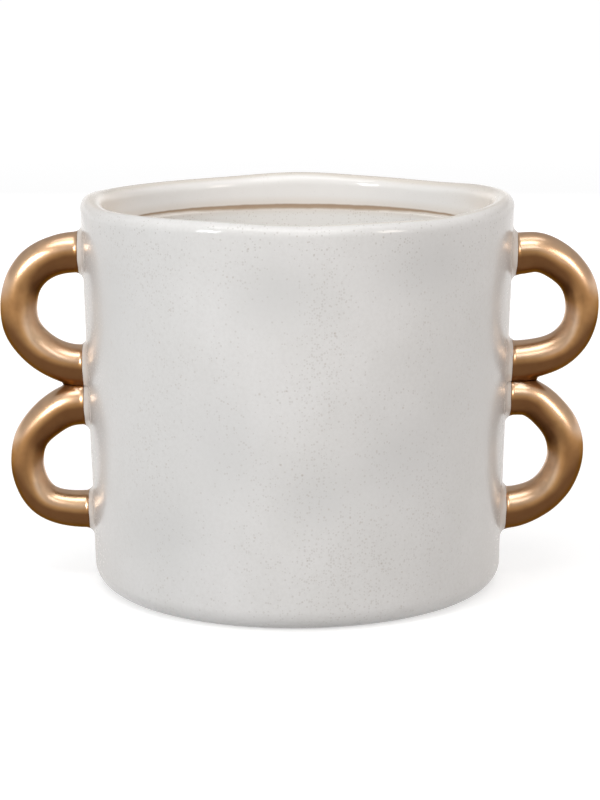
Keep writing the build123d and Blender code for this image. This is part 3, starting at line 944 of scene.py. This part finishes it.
def make_glaze():
    """Off-white speckled glaze: glossy outside, matt below a brown line inside, bare clay on the foot, with
    painted shade in the dents, round the loops' roots, on the flanks and on the lip's crown, and painted
    warm light on the lip's sides.
    """
    graph = Graph(bpy.data.materials.new("white_glaze"))
    x, _, height = graph.apart(graph.place)
    flank, crowd, near_roots = graph.value("flank"), graph.value("crowd"), graph.value("gloss")
    wander, grain = graph.noise("wander"), graph.noise("grain")
    even = graph.sum("MULTIPLY_ADD", height, wall_lean, even_radius(0.0))
    depth = graph.sum("SUBTRACT", even, graph.length(graph.stretched(1, 1, 0)))
    raised = graph.sum("GREATER_THAN", height, FLOOR_THICKNESS / 2)
    inside = graph.times(graph.sum("GREATER_THAN", depth, LIP_THICKNESS * INSIDE_FROM), raised)
    band = graph.ramp(depth, LIP_THICKNESS * BAND_FROM, LIP_THICKNESS, 0.0, BAND_STRENGTH)
    banded = graph.times(band, raised)
    unbanded = graph.sum("SUBTRACT", 1.0, banded)
    # Painted warm light on the crest, and painted shade on the crown.
    crest = graph.ramp(depth, *lip_zone(CREST_ZONE), 0.0, CREST_LIGHT_STRENGTH)
    crown = graph.ramp(depth, *lip_zone(CROWN_START))
    crown_end = graph.ramp(depth, *lip_zone(CROWN_STOP), CROWN_SHADE_STRENGTH, 0.0)
    glossy = graph.most(graph.ramp(height, ledge_height, RIM_HEIGHT - LIP_THICKNESS), near_roots)

    line_height = graph.sum("MULTIPLY_ADD", wander, LINE_WANDER, height)
    thinner = graph.ramp(graph.sum("ABSOLUTE", x), LINE_THIN_FROM, LINE_THIN_TO, 0.0, LINE_THINNING)
    low_edge = graph.sum("SUBTRACT", line_height, thinner)
    line_low = graph.ramp(low_edge, LINE_BOTTOM - LINE_LOW_BLUR, LINE_BOTTOM + LINE_LOW_BLUR)
    line_high = graph.ramp(line_height, LINE_TOP, LINE_TOP + LINE_HIGH_BLUR, 1.0, 0.0)
    line = graph.times(line_low, line_high, inside)
    beige = graph.times(graph.ramp(height, LINE_TOP, LINE_TOP + BEIGE_ABOVE, 1.0, 0.0), inside)
    below = graph.times(graph.ramp(line_height, LINE_BOTTOM, LINE_BOTTOM + LINING_BLUR, 1.0, 0.0), inside)
    fading = graph.times(graph.ramp(height, LINE_BOTTOM - BEIGE_BELOW, LINE_BOTTOM), below)
    clay = graph.ramp(graph.sum("MULTIPLY_ADD", wander, CLAY_WANDER, height), *CLAY_EDGE, 1.0, 0.0)

    mottle = graph.ramp(graph.noise("mottle"), *EVEN_RANGE)
    runs = graph.ramp(graph.noise("runs", RUNS_SQUEEZE), *RUNS_RANGE)
    grey_grain = graph.ramp(grain, *GRAIN_RANGE, 0.0, GRAIN_STRENGTH)
    clouds = graph.ramp(graph.noise("clouds", CLOUDS_SQUEEZE), *CLOUDS_RANGE)
    gathered = graph.most(graph.times(clouds, CLOUDS_STRENGTH), crowd)
    fine = graph.dots(*FINE_DOTS, graph.sum("MULTIPLY_ADD", gathered, *FINE_CROWD))
    coarse = graph.dots(*COARSE_DOTS, graph.sum("MULTIPLY_ADD", gathered, *COARSE_CROWD))
    lining = graph.dots(*LINING_DOTS, LINING_CROWD)
    tone = graph.stained(
        graph.mixed(mottle, GLAZE_LIGHT, GLAZE_SHADE),
        (GLAZE_SHADE, runs, RUNS_STRENGTH),
        (SPECKLE_GREY, grey_grain),
        # Painted shade in the dents.
        (DENT_SHADE_COLOUR, graph.value("dent_shade"), DENT_SHADE_STRENGTH),
        # Painted shade and painted warm reflection of the gold round the loops' roots.
        (WARM_SHADE, graph.value("roots"), ROOT_SHADE_STRENGTH),
        # Painted warm shade on the flanks.
        (WARM_SHADE, flank, FLANK_SHADE_STRENGTH),
        # Painted warm light on the lip's sides, over the crest and the white band.
        (LIP_WARM_LIGHT, crest, raised, flank),
        (graph.mixed(flank, BAND_WHITE, LIP_WARM_LIGHT), banded),
        # Painted shade on the lip's crown.
        (LIP_SHADE, crown, crown_end, raised),
        (LINE_BEIGE, beige, BEIGE_STRENGTH),
        (LINING, below),
        (LINE_BEIGE, fading, BEIGE_STRENGTH),
        (SPECKLE_BROWN, lining, below, LINING_STRENGTH),
        (SPECKLE_GREY, fine, unbanded, FINE_STRENGTH),
        (SPECKLE_BROWN, coarse, unbanded, COARSE_STRENGTH),
        (LINE_BROWN, line, LINE_STRENGTH),
        (graph.mixed(grain, CLAY, CLAY_SHADE), clay),
    )

    matt = graph.most(below, line, clay)
    rough = graph.ramp(graph.noise("gloss"), *EVEN_RANGE, *GLAZE_ROUGHNESS)
    for mark, more in (
        (flank, FLANK_ROUGHNESS),
        (glossy, LIP_ROUGHNESS),
        (graph.most(fine, coarse), DOT_ROUGHNESS),
        (matt, MATT_ROUGHNESS),
    ):
        rough = graph.sum("MULTIPLY_ADD", mark, more, rough)
    pitted = graph.sum("MULTIPLY_ADD", graph.sum("ADD", fine, coarse), DOT_HEIGHT, graph.noise("peel"))
    gritty = graph.sum("MULTIPLY_ADD", graph.times(grain, matt), GRAIN_HEIGHT, pitted)
    facing = graph.relief(GLAZE_RELIEF, gritty)
    shader = graph.add(
        "ShaderNodeBsdfPrincipled",
        {"Base Color": tone, "Roughness": rough, "IOR": GLAZE_IOR, "Normal": facing},
    )
    return graph.finish(shader.outputs[0])


def make_gold():
    """Satin bronze-gold lustre with painted shade on its undersides and in the crease, painted light on its
    bows and their sides towards the vessel, and darker along its painted edge.
    """
    graph = Graph(bpy.data.materials.new("gold_lustre"))
    across_place, _, height = graph.apart(graph.place)
    across_facing, _, up_facing = graph.apart(graph.places["Normal"])
    # Painted light: the bows, and their sides towards the vessel, count as facing up more than they do, so
    # they take less of the painted underside shade.
    inner = graph.most(graph.times(graph.sum("SIGN", across_place), across_facing, -INNER_LIGHT_SHARE), 0.0)
    bow_light = graph.ramp(graph.sum("ABSOLUTE", across_place), BOW_FROM, BOW_TO, 0.0, BOW_LIGHT_SHARE)
    bow_light = graph.times(bow_light, graph.ramp(height, BOW_LOW, BOW_HIGH, LOW_BOW_LIGHT_STRENGTH, 1.0))
    turned = graph.sum("ADD", graph.sum("ADD", up_facing, bow_light), inner)
    lustre, flecks = graph.noise("lustre"), graph.noise("flecks")
    edge = graph.sum("MULTIPLY_ADD", lustre, GOLD_EDGE_WANDER, graph.value("edge"))
    tone = graph.stained(
        graph.mixed(graph.ramp(graph.noise("drift"), *EVEN_RANGE), GOLD_YELLOW, GOLD_RED),
        (GOLD_DEEP_AND_SHADE, graph.ramp(lustre, *LUSTRE_RANGE, 0.0, LUSTRE_STRENGTH)),
        # Painted shade on the undersides, by how far the surface faces down.
        (GOLD_DEEP_AND_SHADE, graph.ramp(turned, GOLD_SHADE_FROM, GOLD_SHADE_TO), UNDERSIDE_SHADE_STRENGTH),
        # Painted shade in the crease between two loops.
        (GOLD_DEEP_AND_SHADE, graph.value("crease"), CREASE_SHADE_STRENGTH),
        (GOLD_DEEP_AND_SHADE, graph.ramp(edge, *GOLD_EDGE_ZONE, 1.0, 0.0), EDGE_STRENGTH),
    )
    satin = graph.sum("MULTIPLY_ADD", flecks, GOLD_FLECKS, lustre)
    facing = graph.relief(GOLD_RELIEF, graph.sum("MULTIPLY_ADD", flecks, FLECK_HEIGHT, lustre))
    shader = graph.add(
        "ShaderNodeBsdfPrincipled",
        {
            "Base Color": tone,
            "Metallic": 1.0,
            "Roughness": graph.ramp(satin, *SATIN_RANGE, *GOLD_ROUGHNESS),
            "Specular Tint": GOLD_EDGE,
            "Coat Weight": graph.ramp(turned, GOLD_COAT_FROM, GOLD_COAT_TO),
            "Coat Roughness": GOLD_COAT_ROUGHNESS,
            "Coat IOR": GOLD_COAT_IOR,
            "Normal": facing,
        },
    )
    return graph.finish(shader.outputs[0])


glaze = make_glaze()
gold = make_gold()

left, left_legs, left_seam = side_pieces(
    "left",
    -1,
    (RIM_HEIGHT - LEFT_TOP_LEG_DROP, LEFT_BOTTOM_LEG_HEIGHT),
    LEFT_SEAM_RISE,
    (
        (LEFT_UPPER_REACH, LEFT_UPPER_SHARES, LEFT_UPPER_THICKNESS_SHARES),
        (LEFT_LOWER_REACH, LEFT_LOWER_SHARES, LEFT_LOWER_THICKNESS_SHARES),
    ),
)
right, right_legs, right_seam = side_pieces(
    "right",
    1,
    (RIM_HEIGHT - RIGHT_TOP_LEG_DROP, RIGHT_BOTTOM_LEG_HEIGHT),
    RIGHT_SEAM_RISE,
    (
        (RIGHT_UPPER_REACH, RIGHT_UPPER_SHARES, RIGHT_UPPER_THICKNESS_SHARES),
        (RIGHT_LOWER_REACH, RIGHT_LOWER_SHARES, RIGHT_LOWER_THICKNESS_SHARES),
    ),
)
body = make_body()
give_values(body, glaze_values, left_legs + right_legs)
made_piece("glazed_body", body, glaze, "white_glaze", "pot_body")
for side, legs, seam in ((left, left_legs, left_seam), (right, right_legs, right_seam)):
    for name, mesh in side.items():
        if name.endswith("loop"):
            give_values(mesh, gold_values, legs, seam)
            made_piece(mesh.name, mesh, gold, "gold_lustre", name)
        else:
            give_values(mesh, glaze_values, legs)
            made_piece(mesh.name, mesh, glaze, "white_glaze", name)

# Camera, as the photograph was taken: its distance, angle, aim height and shift sideways, its focal
# length in pixels, the height of the image in pixels, and the sensor's long side in millimetres.
CAMERA_DISTANCE = 1.17128
CAMERA_ELEVATION = math.radians(11.9615)
CAMERA_AIM_HEIGHT = 0.084607
CAMERA_SIDE_SHIFT = 0.00134
FOCAL_PIXELS = 2496.449
IMAGE_HEIGHT_PIXELS = 800
SENSOR = 36.0

camera_data = bpy.data.cameras.new("camera")
camera_data.sensor_width = SENSOR
camera_data.lens = FOCAL_PIXELS * SENSOR / IMAGE_HEIGHT_PIXELS
camera = bpy.data.objects.new("camera", camera_data)
bpy.context.scene.collection.objects.link(camera)
camera.location = (
    CAMERA_SIDE_SHIFT,
    -CAMERA_DISTANCE * math.cos(CAMERA_ELEVATION),
    CAMERA_AIM_HEIGHT + CAMERA_DISTANCE * math.sin(CAMERA_ELEVATION),
)
camera.rotation_euler = (math.pi / 2 - CAMERA_ELEVATION, 0.0, 0.0)
bpy.context.scene.camera = camera


def make_floor():
    """A wide round floor: pale and diffuse, and as white as paper to the camera and in reflections."""
    angle = 2 * math.pi * np.arange(FLOOR_SIDES) / FLOOR_SIDES
    rim = np.stack([FLOOR_RADIUS * np.cos(angle), FLOOR_RADIUS * np.sin(angle), 0 * angle], axis=1)
    mesh = bpy.data.meshes.new("floor")
    mesh.from_pydata([tuple(place) for place in rim], [], [list(range(FLOOR_SIDES))])
    mesh.update()
    floor = bpy.data.objects.new("floor", mesh)
    bpy.context.scene.collection.objects.link(floor)
    graph = Graph(bpy.data.materials.new("floor_white"))
    strength = graph.ramp(graph.length(graph.place), GLOW_FROM, GLOW_TO, GLOW_NEAR, GLOW_FAR)
    glow = graph.add("ShaderNodeEmission", {"Strength": graph.times(graph.seen(), strength)})
    paint = graph.add("ShaderNodeBsdfDiffuse", {"Color": FLOOR_COLOUR})
    both = graph.add("ShaderNodeAddShader", {0: paint.outputs[0], 1: glow.outputs[0]})
    mesh.materials.append(graph.finish(both.outputs[0]))


def make_world():
    """Even light all round, and a horizon as white as paper to the camera and in reflections."""
    world = bpy.data.worlds.new("studio")
    bpy.context.scene.world = world
    graph = Graph(world)
    _, _, level = graph.apart(graph.places["Generated"])
    low = graph.ramp(level, HORIZON_TOP, HORIZON_FADED, 1.0, 0.0)
    colour = graph.mixed(graph.times(graph.seen(), low), WORLD_COLOUR, HORIZON_COLOUR)
    shader = graph.add("ShaderNodeBackground", {"Color": colour})
    graph.finish(shader.outputs[0], "ShaderNodeOutputWorld")


def make_light(name, place, target, size, power, tint):
    """A soft rectangular lamp at a place, turned to a target. The back one isn't seen in reflections."""
    data = bpy.data.lights.new(name, "AREA")
    data.shape = "RECTANGLE"
    data.size, data.size_y = size
    data.energy = power
    data.color = tint
    lamp = bpy.data.objects.new(name, data)
    bpy.context.scene.collection.objects.link(lamp)
    lamp.location = place
    lamp.rotation_mode = "QUATERNION"
    lamp.rotation_quaternion = (Vector(target) - Vector(place)).to_track_quat("-Z", "Y")
    lamp.visible_glossy = name != "back"


make_floor()
for lamp in LAMPS:
    make_light(*lamp)

make_world()

bpy.context.scene.view_settings.view_transform = "Standard"
